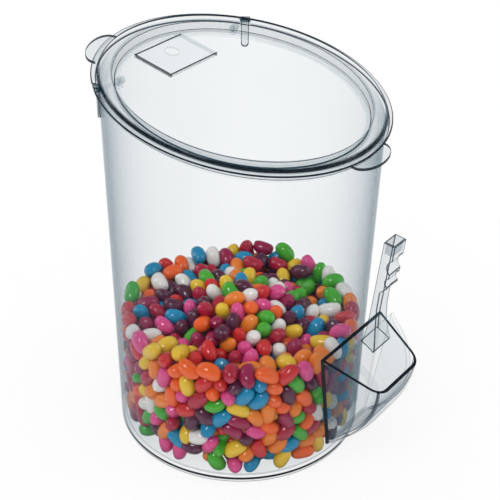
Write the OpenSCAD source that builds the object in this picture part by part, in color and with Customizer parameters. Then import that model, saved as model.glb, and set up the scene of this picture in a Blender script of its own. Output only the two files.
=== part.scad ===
// Round clear candy bin with a slanted mouth. A lid ring sits on the mouth and carries a swing flap
// on two pins. A scoop stands in a pocket that slides onto a rail on the low front side.
// Millimetres, +Z up, origin at the centre of the base, -Y is the low front side of the mouth.

/* [Bin body] */
// Outer diameter at the base
base_d = 200; // [180:1:220]
// Draft of the side wall, degrees from vertical
draft = 1.2; // [0.5:0.1:1.5]
// Wall thickness
wall = 3; // [2.5:0.1:4]
// Floor thickness
floor_t = 5; // [4:0.5:8]
// Depth of the moulded recess under the floor
foot_recess = 1.2; // [0.8:0.1:2]
// Width of the standing ring around the recess
foot_w = 8; // [6:1:14]
// Diameter of the gate pad in the middle of the recess
pad_d = 44; // [30:1:60]
// Height of the mouth plane on the centre line
mouth_h = 296; // [270:1:340]
// Slope of the mouth, rising to the rear, degrees
slope = 10.5; // [8:0.5:14]
// Overhang of the rim flange beyond the side wall
rim_w = 5.3; // [5:0.1:7]
// Thickness of the rim flange
rim_t = 3; // [2:0.1:4]
// Forward shift of the rim flange, which leaves a wider edge at the front
rim_shift = 1.5; // [0.5:0.1:2]

/* [Lid ring] */
// Thickness of the ring deck that lies on the rim
deck_t = 2.5; // [2:0.1:3.5]
// Overhang of the deck beyond the side wall
deck_w = 4.3; // [4:0.1:5]
// Height of the stepped bead above the deck
bead_h = 3.8; // [3:0.1:5]
// Radial width of the bead
bead_w = 8.7; // [8:0.1:9.5]
// Step on each side of the bead's crown
bead_step = 1.2; // [0.8:0.1:2]
// Depth of the plug that enters the mouth
plug_h = 9; // [8.5:0.5:14]
// Radial gap between the plug and the wall
plug_gap = 0.4; // [0.3:0.05:0.7]
// Reach of the ledge under the flap
ledge_w = 5; // [4:0.5:8]
// Thickness of the ledge
ledge_t = 1.8; // [1.5:0.1:2.2]
// Reach of the lift tabs beyond the deck
tab_reach = 11; // [9:0.5:13]
// Width of the lift tabs
tab_w = 42; // [36:1:48]
// Corner radius of the lift tabs
tab_r = 9; // [7:0.5:10]
// Turn of the rear lift tab from the rear point, degrees
rear_tab_turn = 22; // [15:1:25]

/* [Swing flap] */
// Thickness of the flap panel
flap_t = 1.8; // [1.5:0.1:2.5]
// Gap around the flap
flap_gap = 0.9; // [0.7:0.1:1.2]
// Drop of the flap panel below the mouth plane
flap_drop = 2; // [1.8:0.1:2.2]
// Width of the thicker edge of the flap
flap_edge_w = 3.5; // [3:0.5:5]
// Extra thickness of the flap edge, above and below
flap_edge_t = 0.7; // [0.5:0.1:0.9]
// Distance of the hinge line behind the centre, along the mouth
hinge_v = 63.5; // [56:0.5:65]
// Height of the hinge line above the mouth plane
hinge_up = 2.6; // [2.4:0.1:2.8]
// Diameter of the hinge pins
pin_d = 3; // [2.5:0.1:3.2]
// Diametral running clearance of the pins in the flap
pin_fit = 0.1; // [0.04:0.02:0.18]
// Diameter of the flap's hinge barrels
barrel_d = 6; // [5.6:0.1:6.4]
// Length of each hinge barrel
barrel_l = 6; // [4:0.5:8]

/* [Hinge clips] */
// Width of a clip along the rim
clip_w = 8; // [7:0.5:10]
// Width of the clip tongue
tongue_w = 6.4; // [5:0.2:6.6]
// Thickness of the clip tongue
tongue_t = 1.8; // [1.4:0.1:2]
// Length of the tongue below the mouth plane
tongue_l = 21; // [15:1:28]

/* [Card holder] */
// Distance of the card holder's front edge behind the centre, along the mouth
card_v = 48; // [44:1:50]
// Width of the card holder
card_w = 56; // [44:1:60]
// Depth of the card holder along the slope
card_l = 37; // [30:1:38]
// Thickness of the cover plate
card_t = 1.5; // [1.2:0.1:2]
// Height of the card slot
card_slot = 1.6; // [1.2:0.1:2]
// Width of the rails under the plate
card_rail = 2.2; // [2:0.1:3]
// Diameter of the thumb hole
thumb_d = 12; // [8:1:16]

/* [Scoop holder] */
// Height of the holder's back edge above the base plane
holder_top = 121.5; // [115:1:135]
// Width of the pocket at its back edge
holder_w = 84.5; // [78:1:90]
// Depth of the pocket from the back plate to the front, at the rim
holder_depth = 46; // [42:1:52]
// Drop of the rim from the back plate to the front
rim_drop = 20; // [14:1:24]
// Radius of the curved front wall
front_r = 91; // [86:1:96]
// Taper of the side walls per millimetre of height
side_taper = 0.16; // [0.1:0.01:0.2]
// Taper of the side walls per millimetre of depth
depth_taper = 0.22; // [0.15:0.01:0.25]
// Wall thickness of the pocket
holder_wall = 2.5; // [2:0.1:3.2]
// Corner radius of the pocket at the front
holder_corner = 9; // [6:0.5:12]

/* [Holder rail] */
// Distance from the bin's front line at the rail to the holder's back plate
plate_gap = 5.6; // [5:0.1:7]
// Height of the rail's lower end
rail_z = 48; // [44:1:54]
// Length of the rail
rail_l = 52; // [40:1:56]
// Width of the dovetail at its face
dovetail_w = 24; // [18:1:28]
// Undercut of the dovetail on each side
dovetail_cut = 2.2; // [1.5:0.1:2.6]
// Depth of the dovetail
dovetail_t = 2.8; // [2.2:0.1:3.2]
// Clearance of the dovetail on each face
slide_gap = 0.3; // [0.2:0.05:0.5]
// Width of the guide ribs on the holder
rib_w = 6; // [4:0.5:8]

/* [Scoop] */
// Wall thickness of the scoop bowl
scoop_wall = 2; // [1.6:0.1:2.6]
// Gap between the scoop and the pocket's front wall
nest_gap = 0.4; // [0.3:0.05:0.8]
// Gap between the scoop and the pocket's side walls
side_gap = 1.3; // [1:0.1:2]
// Radius of the domed end wall
dome_r = 40; // [36:1:44]
// Lean of the scoop away from the bin, degrees
lean = 6; // [4:0.5:8]
// Distance of the open face from the back plate at the foot of the handle
face_gap = 12; // [10:0.5:14]
// Width of the handle
handle_w = 16; // [14:0.5:20]
// Length of the handle above its foot
handle_l = 90; // [80:1:100]
// Thickness of the grip
grip_t = 9.8; // [9:0.1:12]
// Thickness of the shank at its thinnest
shank_t = 5; // [4.5:0.1:6.5]
// Width of the handle's foot
foot_flare_w = 24; // [20:1:28]
// Wall of the socket in the end of the handle
socket_wall = 1.8; // [1.5:0.1:2.4]
// Depth of that socket
socket_depth = 10; // [6:1:11]

/* [Hidden] */
$fn = 96;
cut = 400;                 // half size of the cutting blocks
eps = 0.01;                // overlap of joined shapes
round_fn = 180;            // facets of the large circles
bead_in = 0.7;             // step from the wall line in to the bead
step_part = 0.6;           // share of the bead's height below its crown
barrel_gap = 0.5;          // gap between a flap barrel and the ring
web_w = 4;                 // width of the web under a flap barrel
notch_gap = 1;             // gap beside a clip in the rim flange
clip_gap = 0.3;            // gap beside a clip in the ring deck
tongue_gap = 0.8;          // gap between the tongue and the wall
ledge_gap = 0.3;           // gap between the ledge and the flap's edge
ledge_clear = 14;          // distance from the hinge line to the end of the ledge
thumb_part = 0.62;         // place of the thumb hole along the card holder
arc_part = 0.085;          // height of the front wall's centre above the rim, per radius
dome_up = 10;              // height of the scoop bowl above the holder's back edge
foot_len = 12;             // length of the handle's foot that runs down over the bowl
foot_t = 12;               // thickness of the handle's foot
neck_t = 7;                // thickness of the handle where its flare ends
neck_l = 16;               // length of the flare
rib_low_gap = 2;           // length of the ribs below the rail
cap_t = 4;                 // thickness of the cap over the rail
rail_base = 16;            // stock of the rail's base, cut to the wall

// Body radius at a height, and the radii at the mouth that the lid parts share
function body_r(z) = base_d / 2 + z * tan(draft);
mouth_r = body_r(mouth_h);
low_plug_z = mouth_h - mouth_r * tan(slope) - plug_h;
plug_r = body_r(low_plug_z) - wall - plug_gap;
deck_r = mouth_r + deck_w;
rim_r = mouth_r + rim_w;
bead_r = mouth_r - bead_in;
bore_r = bead_r - bead_w;
flap_r = bore_r - flap_gap;
top_z = mouth_h + 2 * deck_r * tan(slope);     // above everything on the mouth

// Hinge line in the frame of the mouth, and in the part's own frame
hinge_y = hinge_v * cos(slope) - hinge_up * sin(slope);
hinge_z = mouth_h + hinge_v * sin(slope) + hinge_up * cos(slope);
clip_turn = acos(hinge_y / bead_r);             // angle of the clips from the rear point
barrel_out = sqrt(pow(bore_r, 2) - pow(hinge_y + barrel_d / 2 + barrel_gap, 2)) - barrel_gap;
clip_out = bead_r + deck_w;                     // outer radius of the clip block
tongue_in = mouth_r + tongue_gap;               // inner radius of the clip tongue
ledge_low = -flap_drop - flap_t - flap_edge_t - ledge_gap - ledge_t;

web_top = hinge_up - pin_d / 2 - barrel_gap;    // top of the web, inside the barrel's wall

// Scoop holder: the front wall is an arc about an axis along X
plate_y = -(body_r(rail_z + rail_l) + plate_gap);        // back face of the pocket's plate
front_y = plate_y - holder_depth - holder_wall / 2;
arc_z = holder_top - rim_drop + front_r * arc_part;
arc_y = front_y + sqrt(pow(front_r, 2) - pow(arc_z - holder_top + rim_drop, 2));
pocket_low = arc_z - sqrt(pow(front_r, 2) - pow(plate_y - arc_y, 2));
rim_tilt = atan(rim_drop / holder_depth);
rib_half = dovetail_w / 2 + slide_gap + rib_w;           // half width over the guide ribs

// Scoop: dome centre, open face and handle foot
dome_top_z = holder_top + dome_up;
scoop_r = front_r - holder_wall - nest_gap;
dome_z = dome_top_z - dome_r;
dome_y = arc_y - sqrt(pow(scoop_r, 2) - pow(dome_z - arc_z, 2)) + dome_r;
face_y = plate_y - face_gap - holder_wall;
foot_z = dome_top_z - scoop_wall;
handle_y = face_y - scoop_wall;                          // bin's side of the handle at its foot

// ---------------------------------------------------------------- helpers
// Places children in the frame of the slanted mouth
module on_mouth() {
    translate([0, 0, mouth_h]) rotate([slope, 0, 0]) children();
}

// Slab parallel to the mouth, between two heights above it
module mouth_slab(low, high) {
    on_mouth() translate([-cut, -cut, low]) cube([2 * cut, 2 * cut, high - low]);
}

// Upright ring whose top and bottom follow the mouth
module mouth_ring(r_out, r_in, low, high, shift = 0) {
    intersection() {
        difference() {
            translate([0, shift, 0]) cylinder(r = r_out, h = top_z, $fn = round_fn);
            translate([0, 0, -1]) cylinder(r = r_in, h = top_z + 2, $fn = round_fn);
        }
        mouth_slab(low, high);
    }
}

// Upright block that reaches out from the axis at an angle from the rear
module spoke(turn, r_in, r_out, w) {
    rotate([0, 0, turn]) translate([-w / 2, r_in, 0]) cube([w, r_out - r_in, top_z]);
}

// Cone of the body's side wall, moved in by a thickness
module side_cone(inset, low) {
    translate([0, 0, low])
        cylinder(r1 = body_r(low) - inset, r2 = body_r(top_z) - inset, h = top_z - low, $fn = round_fn);
}

// Plan of a lift tab with two rounded corners, pointing to +Y
module tab_plan(tip) {
    half = tab_w / 2;
    translate([-half, deck_r - 8]) square([tab_w, tip - tab_r - deck_r + 8]);
    translate([-half + tab_r, deck_r - 8]) square([tab_w - 2 * tab_r, tip - deck_r + 8]);
    for (side = [-1, 1]) translate([side * (half - tab_r), tip - tab_r]) circle(tab_r);
}

// Round bar along X between two places on the hinge line
module hinge_bar(x0, x1, d) {
    translate([x0, hinge_y, hinge_z]) rotate([0, 90, 0]) cylinder(d = d, h = x1 - x0, $fn = 48);
}

// ---------------------------------------------------------------- bin
module bin_body() color("aliceblue", 0.35) {
    difference() {
        union() {
            intersection() {
                side_cone(0, 0);
                mouth_slab(-cut, 0);
            }
            mouth_ring(rim_r, body_r(low_plug_z) - wall / 2, -rim_t, 0, -rim_shift);
        }
        side_cone(wall, floor_t);
        translate([0, 0, -eps]) difference() {
            cylinder(r = base_d / 2 - foot_w, h = foot_recess + eps, $fn = round_fn);
            translate([0, 0, -1]) cylinder(d = pad_d, h = foot_recess + 2);
        }
        for (side = [-1, 1]) intersection() {
            spoke(side * clip_turn, mouth_r + clip_gap, 2 * rim_r, clip_w + 2 * notch_gap);
            mouth_slab(-2 * rim_t, rim_t);
        }
    }
}

// ---------------------------------------------------------------- lid ring
module ring_profile() {
    step_z = deck_t + bead_h * step_part;
    mouth_ring(deck_r, bore_r, 0, deck_t, rim_shift);
    mouth_ring(plug_r, bore_r, -plug_h, eps);
    mouth_ring(bead_r, bore_r, deck_t - eps, step_z);
    mouth_ring(bead_r - bead_step, bore_r + bead_step, step_z - eps, deck_t + bead_h);
}

// Both lift tabs as one flat shape, cut off inside the bead
module lift_tabs() {
    difference() {
        union() {
            rotate([0, 0, 180]) linear_extrude(top_z) tab_plan(deck_r + tab_reach);
            rotate([0, 0, rear_tab_turn]) linear_extrude(top_z)
                tab_plan(deck_r + tab_reach + rim_shift);
        }
        translate([0, 0, -1]) cylinder(r = bead_r - wall, h = top_z + 2, $fn = round_fn);
    }
}

// Ledge under the front part of the flap
module flap_ledge() {
    intersection() {
        mouth_ring(bore_r + eps, bore_r - ledge_w, ledge_low, ledge_low + ledge_t);
        translate([-cut, -2 * cut + hinge_y - ledge_clear, 0]) cube(2 * cut);
    }
}

module lid_ring() color("lightsteelblue", 0.4) {
    difference() {
        union() {
            ring_profile();
            intersection() {
                lift_tabs();
                mouth_slab(0, deck_t);
            }
            flap_ledge();
        }
        for (side = [-1, 1]) intersection() {
            spoke(side * clip_turn, bead_r, 2 * deck_r, clip_w + 2 * clip_gap);
            mouth_slab(-deck_t, deck_t + 2 * bead_h);
        }
        hinge_bar(-bead_r, bead_r, pin_d);
    }
}

// ---------------------------------------------------------------- hinge
// Round lower end of the tongue, seen from outside
module tongue_outline(side) {
    tip_z = mouth_h + mouth_r * cos(clip_turn) * tan(slope) - tongue_l + tongue_w / 2;
    depth = 2 * (tongue_gap + tongue_t) + wall;
    rotate([0, 0, side * clip_turn]) translate([0, mouth_r - wall, tip_z]) {
        rotate([-90, 0, 0]) cylinder(d = tongue_w, h = depth, $fn = 48);
        translate([-tongue_w / 2, 0, 0]) cube([tongue_w, depth, 2 * tongue_l]);
    }
}

// Clip on the outside of the bead with a tongue down the side of the bin
module hinge_clip(side) {
    difference() {
        union() {
            intersection() {
                mouth_ring(clip_out, bead_r + eps, 0, deck_t + bead_h);
                spoke(side * clip_turn, bead_r - wall, clip_out + wall, clip_w);
            }
            intersection() {
                mouth_ring(tongue_in + tongue_t, tongue_in, -tongue_l, deck_t);
                tongue_outline(side);
            }
        }
        hinge_bar(-clip_out, clip_out, pin_d);
    }
}

module left_hinge_clip() color("slategray") hinge_clip(1);

module right_hinge_clip() color("slategray") hinge_clip(-1);

module hinge_pins() color("silver") {
    inner = barrel_out - barrel_l - barrel_gap;
    outer = sqrt(pow(bead_r, 2) - pow(hinge_y, 2)) + deck_w / 2;
    hinge_bar(inner, outer, pin_d);
    hinge_bar(-outer, -inner, pin_d);
}

// ---------------------------------------------------------------- swing flap
module flap_disc(r, low, high) {
    intersection() {
        cylinder(r = r, h = top_z, $fn = round_fn);
        mouth_slab(low, high);
    }
}

module lid_flap() color("azure", 0.35) {
    difference() {
        union() {
            flap_disc(flap_r - flap_edge_w / 2, -flap_drop - flap_t, -flap_drop);
            mouth_ring(flap_r, flap_r - flap_edge_w, -flap_drop - flap_t - flap_edge_t,
                       -flap_drop + flap_edge_t);
            for (x0 = [-barrel_out, barrel_out - barrel_l]) {
                hinge_bar(x0, x0 + barrel_l, barrel_d);
                on_mouth() translate([x0 + barrel_gap, hinge_v - web_w / 2, -flap_drop - flap_t / 2])
                    cube([barrel_l - 2 * barrel_gap, web_w, web_top + flap_drop + flap_t / 2]);
            }
        }
        hinge_bar(-bead_r, bead_r, pin_d + pin_fit);
    }
}

// Cover plate on three rails, open to the rear, so that a card slides in
module card_holder() color("lightcyan", 0.4) {
    on_mouth() translate([0, card_v, -flap_drop]) {
        difference() {
            translate([-card_w / 2, 0, card_slot]) cube([card_w, card_l, card_t]);
            translate([0, card_l * thumb_part, 0])
                cylinder(d = thumb_d, h = 2 * (card_slot + card_t), $fn = 64);
        }
        for (x = [-card_w / 2, card_w / 2 - card_rail])
            translate([x, 0, 0]) cube([card_rail, card_l, card_slot]);
        translate([-card_w / 2, 0, 0]) cube([card_w, card_rail, card_slot]);
    }
}

// ---------------------------------------------------------------- holder rail
// Plan of the dovetail, widest at its face, grown by a clearance
module dovetail_plan(grow) {
    wide = dovetail_w / 2 + grow;
    narrow = wide - dovetail_cut;
    face = plate_y + slide_gap - grow;
    polygon([[-wide, face], [wide, face], [narrow, face + dovetail_t + 2 * grow],
             [-narrow, face + dovetail_t + 2 * grow]]);
}

module holder_rail() color("lightsteelblue") {
    difference() {
        union() {
            translate([0, 0, rail_z]) linear_extrude(rail_l) dovetail_plan(0);
            translate([-rib_half, plate_y + slide_gap + dovetail_t - eps, rail_z])
                cube([2 * rib_half, rail_base, rail_l]);
        }
        side_cone(0, 0);
    }
}

// ---------------------------------------------------------------- scoop holder
// Tapered box with rounded front corners that the pocket and the scoop are cut from
module taper_box(inset, back) {
    level_top = dome_top_z + dome_up;
    level_low = pocket_low - holder_corner;
    r = max(holder_corner - inset, 1);
    sheet = 0.02;
    hull() for (z = [level_low, level_top]) {
        back_half = holder_w / 2 - side_taper * (holder_top - z) - inset;
        front_half = back_half - depth_taper * holder_depth;
        translate([-back_half, back - sheet, z]) cube([2 * back_half, sheet, sheet]);
        for (side = [-1, 1])
            translate([side * (front_half - r), front_y + inset + r, z])
                cylinder(r = r, h = sheet, $fn = 32);
    }
}

// Upright half-space below the sloping rim of the pocket
module below_rim() {
    translate([0, plate_y, holder_top]) rotate([rim_tilt, 0, 0])
        translate([-cut, -cut, -2 * cut]) cube([2 * cut, 2 * cut, 2 * cut]);
}

// Solid round bar along X that gives the curved front wall
module front_bar(r) {
    translate([-cut, arc_y, arc_z]) rotate([0, 90, 0]) cylinder(r = r, h = 2 * cut, $fn = round_fn);
}

// Ribs that grip the rail, with a cap that rests on its top
module guide_ribs() {
    low = rail_z - rib_low_gap;
    difference() {
        translate([-rib_half, plate_y - eps, low])
            cube([2 * rib_half, dovetail_t - slide_gap + eps, rail_z + rail_l + cap_t - low]);
        translate([0, 0, low - 1]) linear_extrude(rail_z + rail_l + 1 - low)
            dovetail_plan(slide_gap);
    }
}

module scoop_holder() color("lightsteelblue", 0.5) {
    difference() {
        intersection() {
            taper_box(0, plate_y);
            front_bar(front_r);
            below_rim();
        }
        intersection() {
            taper_box(holder_wall, plate_y - holder_wall);
            front_bar(front_r - holder_wall);
        }
    }
    guide_ribs();
}

// ---------------------------------------------------------------- scoop
// Outer form of the bowl: domed end wall above, the pocket's own arc below
module bowl_form(inset) {
    intersection() {
        taper_box(holder_wall + side_gap + inset, plate_y - holder_wall - 1);
        front_bar(scoop_r - inset);
        union() {
            translate([-cut, dome_y, dome_z]) rotate([0, 90, 0])
                cylinder(r = dome_r - inset, h = 2 * cut, $fn = round_fn);
            translate([-cut, -cut, dome_z - cut]) cube([2 * cut, 2 * cut, cut]);
        }
    }
}

// Everything on the bin's side of the scoop's open face
module behind_face() {
    translate([0, face_y, foot_z]) rotate([lean, 0, 0])
        translate([-cut, 0, -cut]) cube([2 * cut, cut, 2 * cut]);
}

module scoop_bowl() color("lightsteelblue", 0.5) {
    difference() {
        bowl_form(0);
        bowl_form(scoop_wall);
        behind_face();
    }
}

// Side view of the handle: x is the thickness away from the bin, y the length above the foot
module handle_profile() {
    grip_l = handle_l * 0.42;                   // length of the grip at the end of the handle
    difference() {
        polygon([[0, -foot_len], [neck_t + 1, -foot_len], [neck_t, neck_l],
                 [shank_t + 0.4, handle_l / 3], [shank_t, handle_l - grip_l - 6],
                 [shank_t + 1.4, handle_l - grip_l - 4], [grip_t, handle_l - grip_l],
                 [grip_t, handle_l], [0, handle_l]]);
        translate([grip_t + 1.6, handle_l - grip_l * 0.86]) circle(4, $fn = 48);
        translate([grip_t + 3.8, handle_l - grip_l / 2]) circle(7, $fn = 48);
    }
}

// Places children so that local x points away from the bin and local y up the handle
module on_handle() {
    translate([0, handle_y, foot_z]) rotate([lean, 0, 0]) rotate([90, 0, -90]) children();
}

module scoop_handle() color("lightsteelblue") {
    difference() {
        on_handle() {
            translate([0, 0, -handle_w / 2]) linear_extrude(handle_w) handle_profile();
            hull() {
                translate([0, -foot_len, -foot_flare_w / 2]) cube([foot_t, 2 * foot_len / 3, foot_flare_w]);
                translate([0, neck_l, -handle_w / 2]) cube([neck_t, 1, handle_w]);
            }
        }
        on_handle() translate([socket_wall, handle_l - socket_depth, -handle_w / 2 + socket_wall])
            cube([grip_t - 2 * socket_wall, 2 * socket_depth, handle_w - 2 * socket_wall]);
        bowl_form(0);
        translate([-cut, -cut, dome_z - 2 * cut]) cube(2 * cut);
    }
}

bin_body();
lid_ring();
left_hinge_clip();
right_hinge_clip();
hinge_pins();
lid_flap();
card_holder();
holder_rail();
scoop_holder();
scoop_bowl();
scoop_handle();
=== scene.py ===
"""Dresses the clear candy bin: its body, the lid on the slanted mouth, and the scoop in its pocket."""

from __future__ import annotations

import logging
import math
from dataclasses import dataclass, field
from enum import Enum
from typing import Callable, Iterable, Sequence

import bmesh
import bpy
import numpy as np
from mathutils import Matrix, Vector


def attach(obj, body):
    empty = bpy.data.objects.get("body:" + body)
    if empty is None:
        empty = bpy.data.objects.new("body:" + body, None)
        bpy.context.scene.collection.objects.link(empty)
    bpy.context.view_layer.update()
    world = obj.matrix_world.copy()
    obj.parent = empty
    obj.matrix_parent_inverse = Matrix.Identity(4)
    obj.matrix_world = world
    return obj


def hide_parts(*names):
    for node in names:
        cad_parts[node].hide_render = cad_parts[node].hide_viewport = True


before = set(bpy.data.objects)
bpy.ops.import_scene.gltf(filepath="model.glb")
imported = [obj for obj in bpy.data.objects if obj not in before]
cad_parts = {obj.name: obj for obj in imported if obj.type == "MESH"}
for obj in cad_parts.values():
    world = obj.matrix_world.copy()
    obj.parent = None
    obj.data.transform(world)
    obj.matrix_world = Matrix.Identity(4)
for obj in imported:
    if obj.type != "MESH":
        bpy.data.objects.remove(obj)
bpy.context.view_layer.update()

LOG = logging.getLogger("candy_bin")
MM = 0.001
SHADE = "edge_shade"
GLANCE = "edge_glance"
SHARP = math.radians(32)
SQUARE = math.radians(60)
LINE = 0.985  # shade of an edge that shows as a black line
WHITE = (1.0, 1.0, 1.0, 1.0)
EVEN = (1.0, 1.0, 1.0)
SIDES = (-1, 1)

Face = bmesh.types.BMFace
Tone = Callable[[Face], float]


# ------------------------------------------------------------------ shader building
class Value:
    """A number socket on which arithmetic adds Math nodes."""

    def __init__(self, book: "NodeBook", socket: bpy.types.NodeSocket) -> None:
        """Wraps a socket of a node book."""
        self.book, self.socket = book, socket

    def _join(self, operation: str, *values: "Value | float") -> "Value":
        """The result of one Math node on the values."""
        node = self.book.node("ShaderNodeMath", {"operation": operation}, dict(enumerate(values)))
        return Value(self.book, node.outputs[0])

    def __add__(self, other: "Value | float") -> "Value":
        """Sum."""
        return self._join("ADD", self, other)

    def __sub__(self, other: "Value | float") -> "Value":
        """Difference."""
        return self._join("SUBTRACT", self, other)

    def __rsub__(self, other: float) -> "Value":
        """Difference, reflected."""
        return self._join("SUBTRACT", other, self)

    def __mul__(self, other: "Value | float") -> "Value":
        """Product."""
        return self._join("MULTIPLY", self, other)

    def __rtruediv__(self, other: float) -> "Value":
        """Quotient, reflected."""
        return self._join("DIVIDE", other, self)

    def __pow__(self, other: "Value | float") -> "Value":
        """Power."""
        return self._join("POWER", self, other)

    def __rpow__(self, other: float) -> "Value":
        """Power, reflected."""
        return self._join("POWER", other, self)

    def at_least(self, low: float) -> "Value":
        """The larger of this and a limit."""
        return self._join("MAXIMUM", self, low)

    def at_most(self, high: float) -> "Value":
        """The smaller of this and a limit."""
        return self._join("MINIMUM", self, high)

    __radd__, __rmul__ = __add__, __mul__


class NodeBook:
    """Builds the node tree of one material or world."""

    def __init__(self, owner: bpy.types.Material | bpy.types.World) -> None:
        """Clears the node tree.

        Args:
            owner: the material or world whose tree is built.
        """
        owner.use_nodes = True
        self.tree = owner.node_tree
        self.tree.nodes.clear()

    def node(self, kind: str, settings: dict | None = None, inputs: dict | None = None) -> bpy.types.Node:
        """Adds a node.

        Args:
            kind: the node's type name.
            settings: attributes set first; "stops" gives a colour ramp its places and colours.
            inputs: socket name or number to a value or an output socket.

        Returns:
            The new node.
        """
        made = self.tree.nodes.new(kind)
        settings = dict(settings or {})
        for number, (place, colour) in enumerate(settings.pop("stops", ())):
            element = made.color_ramp.elements[0] if number == 0 else made.color_ramp.elements.new(place)
            element.position, element.color = place, (*colour, 1.0)
        for key, value in settings.items():
            setattr(made, key, value)
        for key, value in (inputs or {}).items():
            value = value.socket if isinstance(value, Value) else value
            if isinstance(value, bpy.types.NodeSocket):
                self.tree.links.new(value, made.inputs[key])
            else:
                made.inputs[key].default_value = value
        return made

    def value(self, node: bpy.types.Node, output: str | int = 0) -> Value:
        """The number that a node gives."""
        return Value(self, node.outputs[output])

    def object_noise(self, scale: float, stretch: Sequence[float] = EVEN, detail: float = 2.0) -> Value:
        """Noise on object coordinates.

        Args:
            scale: cells per metre.
            stretch: factor on each axis before the noise.
            detail: octaves of the noise.

        Returns:
            The noise as a number around 0.5.
        """
        place = self.node("ShaderNodeTexCoord").outputs["Object"]
        mapped = self.node("ShaderNodeMapping", None, {"Vector": place, "Scale": stretch}).outputs[0]
        noise = self.node("ShaderNodeTexNoise", None, {"Vector": mapped, "Scale": scale, "Detail": detail})
        return self.value(noise, "Fac")

    def show(self, shader: bpy.types.Node, kind: str = "ShaderNodeOutputMaterial") -> None:
        """Sends a shader to the output."""
        self.node(kind, None, {"Surface": shader.outputs[0]})


@dataclass(frozen=True)
class ClearPlastic:
    """Clear moulded plastic whose own colour shows where much of it is looked through, with painted shade
    along marked edges.
    """

    name: str
    # painted shade: near-black colour that faces with a high edge shade take, drawn as dark lines along edges
    thick: tuple[float, float, float] = (0.002, 0.006, 0.011)
    thin: tuple[float, float, float] = (0.06, 0.155, 0.22)
    veil: float = 0.02
    depth: float = 0.04
    # painted reflection: weight of faint upright streaks in the cover that stand for reflections on the wall
    reflection_streak: float = 0.0
    glance: float = 0.3
    rim: float = 0.0
    rim_power: float = 6.0
    gloss: float = 0.14
    passes: tuple[float, float, float] = (0.985, 0.99, 0.992)
    least_cosine: float = 0.02
    most_cover: float = 0.99
    # painted reflection: size and upright stretch of the streak noise
    reflection_scale: float = 9.0
    reflection_stretch: tuple[float, float, float] = (1.0, 1.0, 0.25)
    grain_scale: float = 260.0
    smoothest: float = 0.05
    grain_rough: float = 0.08
    bump: float = 0.05
    bump_depth: float = 0.0004

    def material(self) -> bpy.types.Material:
        """Builds the material.

        Returns:
            A clear material that reads the faces' edge shade and glance.
        """
        material = bpy.data.materials.new(self.name)
        book = NodeBook(material)
        shade, outer = (
            book.value(book.node("ShaderNodeAttribute", {"attribute_name": name}), "Fac")
            for name in (SHADE, GLANCE)
        )
        facing = book.value(book.node("ShaderNodeLayerWeight", None, {"Blend": 0.5}), "Facing")
        cosine = (1.0 - facing).at_least(self.least_cosine)
        reflection_noise = book.object_noise(self.reflection_scale, self.reflection_stretch)
        grain = book.object_noise(self.grain_scale, detail=3.0)
        passing = math.e ** ((1.0 / cosine - 1.0) * (outer * -self.glance - self.depth))
        passing = passing * (1.0 - (1.0 - cosine) ** self.rim_power * outer * self.rim)
        # painted shade: a face's edge shade makes it cover what lies behind
        body = 1.0 - passing * (1.0 - self.veil) * (1.0 - shade)
        # painted reflection: upright noise streaks make the cover a little more or less
        cover = (body + (reflection_noise - 0.5) * self.reflection_streak).at_least(0.0).at_most(self.most_cover)
        # painted shade: the edge shade blends the base colour from thin towards the near-black thick colour
        blend = book.node("ShaderNodeMix", {"data_type": "RGBA"}, {"Factor": shade.at_most(1.0)})
        blend.inputs["A"].default_value = (*self.thin, 1.0)
        blend.inputs["B"].default_value = (*self.thick, 1.0)
        bump = book.node("ShaderNodeBump", None, {
            "Strength": self.bump, "Distance": self.bump_depth, "Height": grain,
        })
        solid = book.node("ShaderNodeBsdfPrincipled", None, {
            "Base Color": blend.outputs["Result"], "Roughness": self.smoothest + grain * self.grain_rough,
            "Specular IOR Level": self.gloss, "Normal": bump.outputs[0],
        })
        clear = book.node("ShaderNodeBsdfTransparent", None, {"Color": (*self.passes, 1.0)})
        mixed = book.node("ShaderNodeMixShader", None, {0: cover, 1: clear.outputs[0], 2: solid.outputs[0]})
        book.show(mixed)
        return material


class Finish(Enum):
    """The finishes of the bin's pieces."""

    WALL = ClearPlastic(
        "wall_finish", veil=0.008, depth=0.014, reflection_streak=0.05, glance=0.085, rim=1.0, rim_power=5.0,
    )
    LID = ClearPlastic("lid_finish", veil=0.012, depth=0.025, glance=0.4)
    PIN = ClearPlastic("pin_finish", veil=0.03, depth=0.05)
    PANEL = ClearPlastic("panel_finish", veil=0.012, depth=0.012, reflection_streak=0.02)
    CLIP = ClearPlastic("hinge_finish", veil=0.08, depth=0.12)
    CARD = ClearPlastic("card_finish", veil=0.006, depth=0.012)
    POCKET = ClearPlastic("pocket_finish", veil=0.015, depth=0.045)
    SCOOP = ClearPlastic("scoop_finish", veil=0.01, depth=0.035)
    HANDLE = ClearPlastic("handle_finish", veil=0.085, depth=0.05)

    def made(self) -> bpy.types.Material:
        """The finish's material, built once."""
        return bpy.data.materials.get(self.value.name) or self.value.material()


# ------------------------------------------------------------------ places round the upright axis
def radius_of(point: Vector) -> float:
    """Distance of a point from the upright axis."""
    return math.hypot(point.x, point.y)


def turn_of(point: Vector) -> float:
    """Angle of a point about the upright axis, from the rear point towards -X."""
    return math.atan2(-point.x, point.y)


def at_turn(point: Vector, radius: float, turn: float | None = None) -> Vector:
    """A point moved to a radius, and to an angle if one is given, at its old height."""
    turn = turn_of(point) if turn is None else turn
    return Vector((-radius * math.sin(turn), radius * math.cos(turn), point.z))


def angle_gap(a: float, b: float) -> float:
    """The angle from b to a, within half a turn."""
    return (a - b + math.pi) % (2 * math.pi) - math.pi


def arc_turns(start: float, sweep: float, steps: int) -> list[float]:
    """Evenly spaced angles from a start over a sweep, both ends included."""
    return [start + sweep * step / steps for step in range(steps + 1)]


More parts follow.
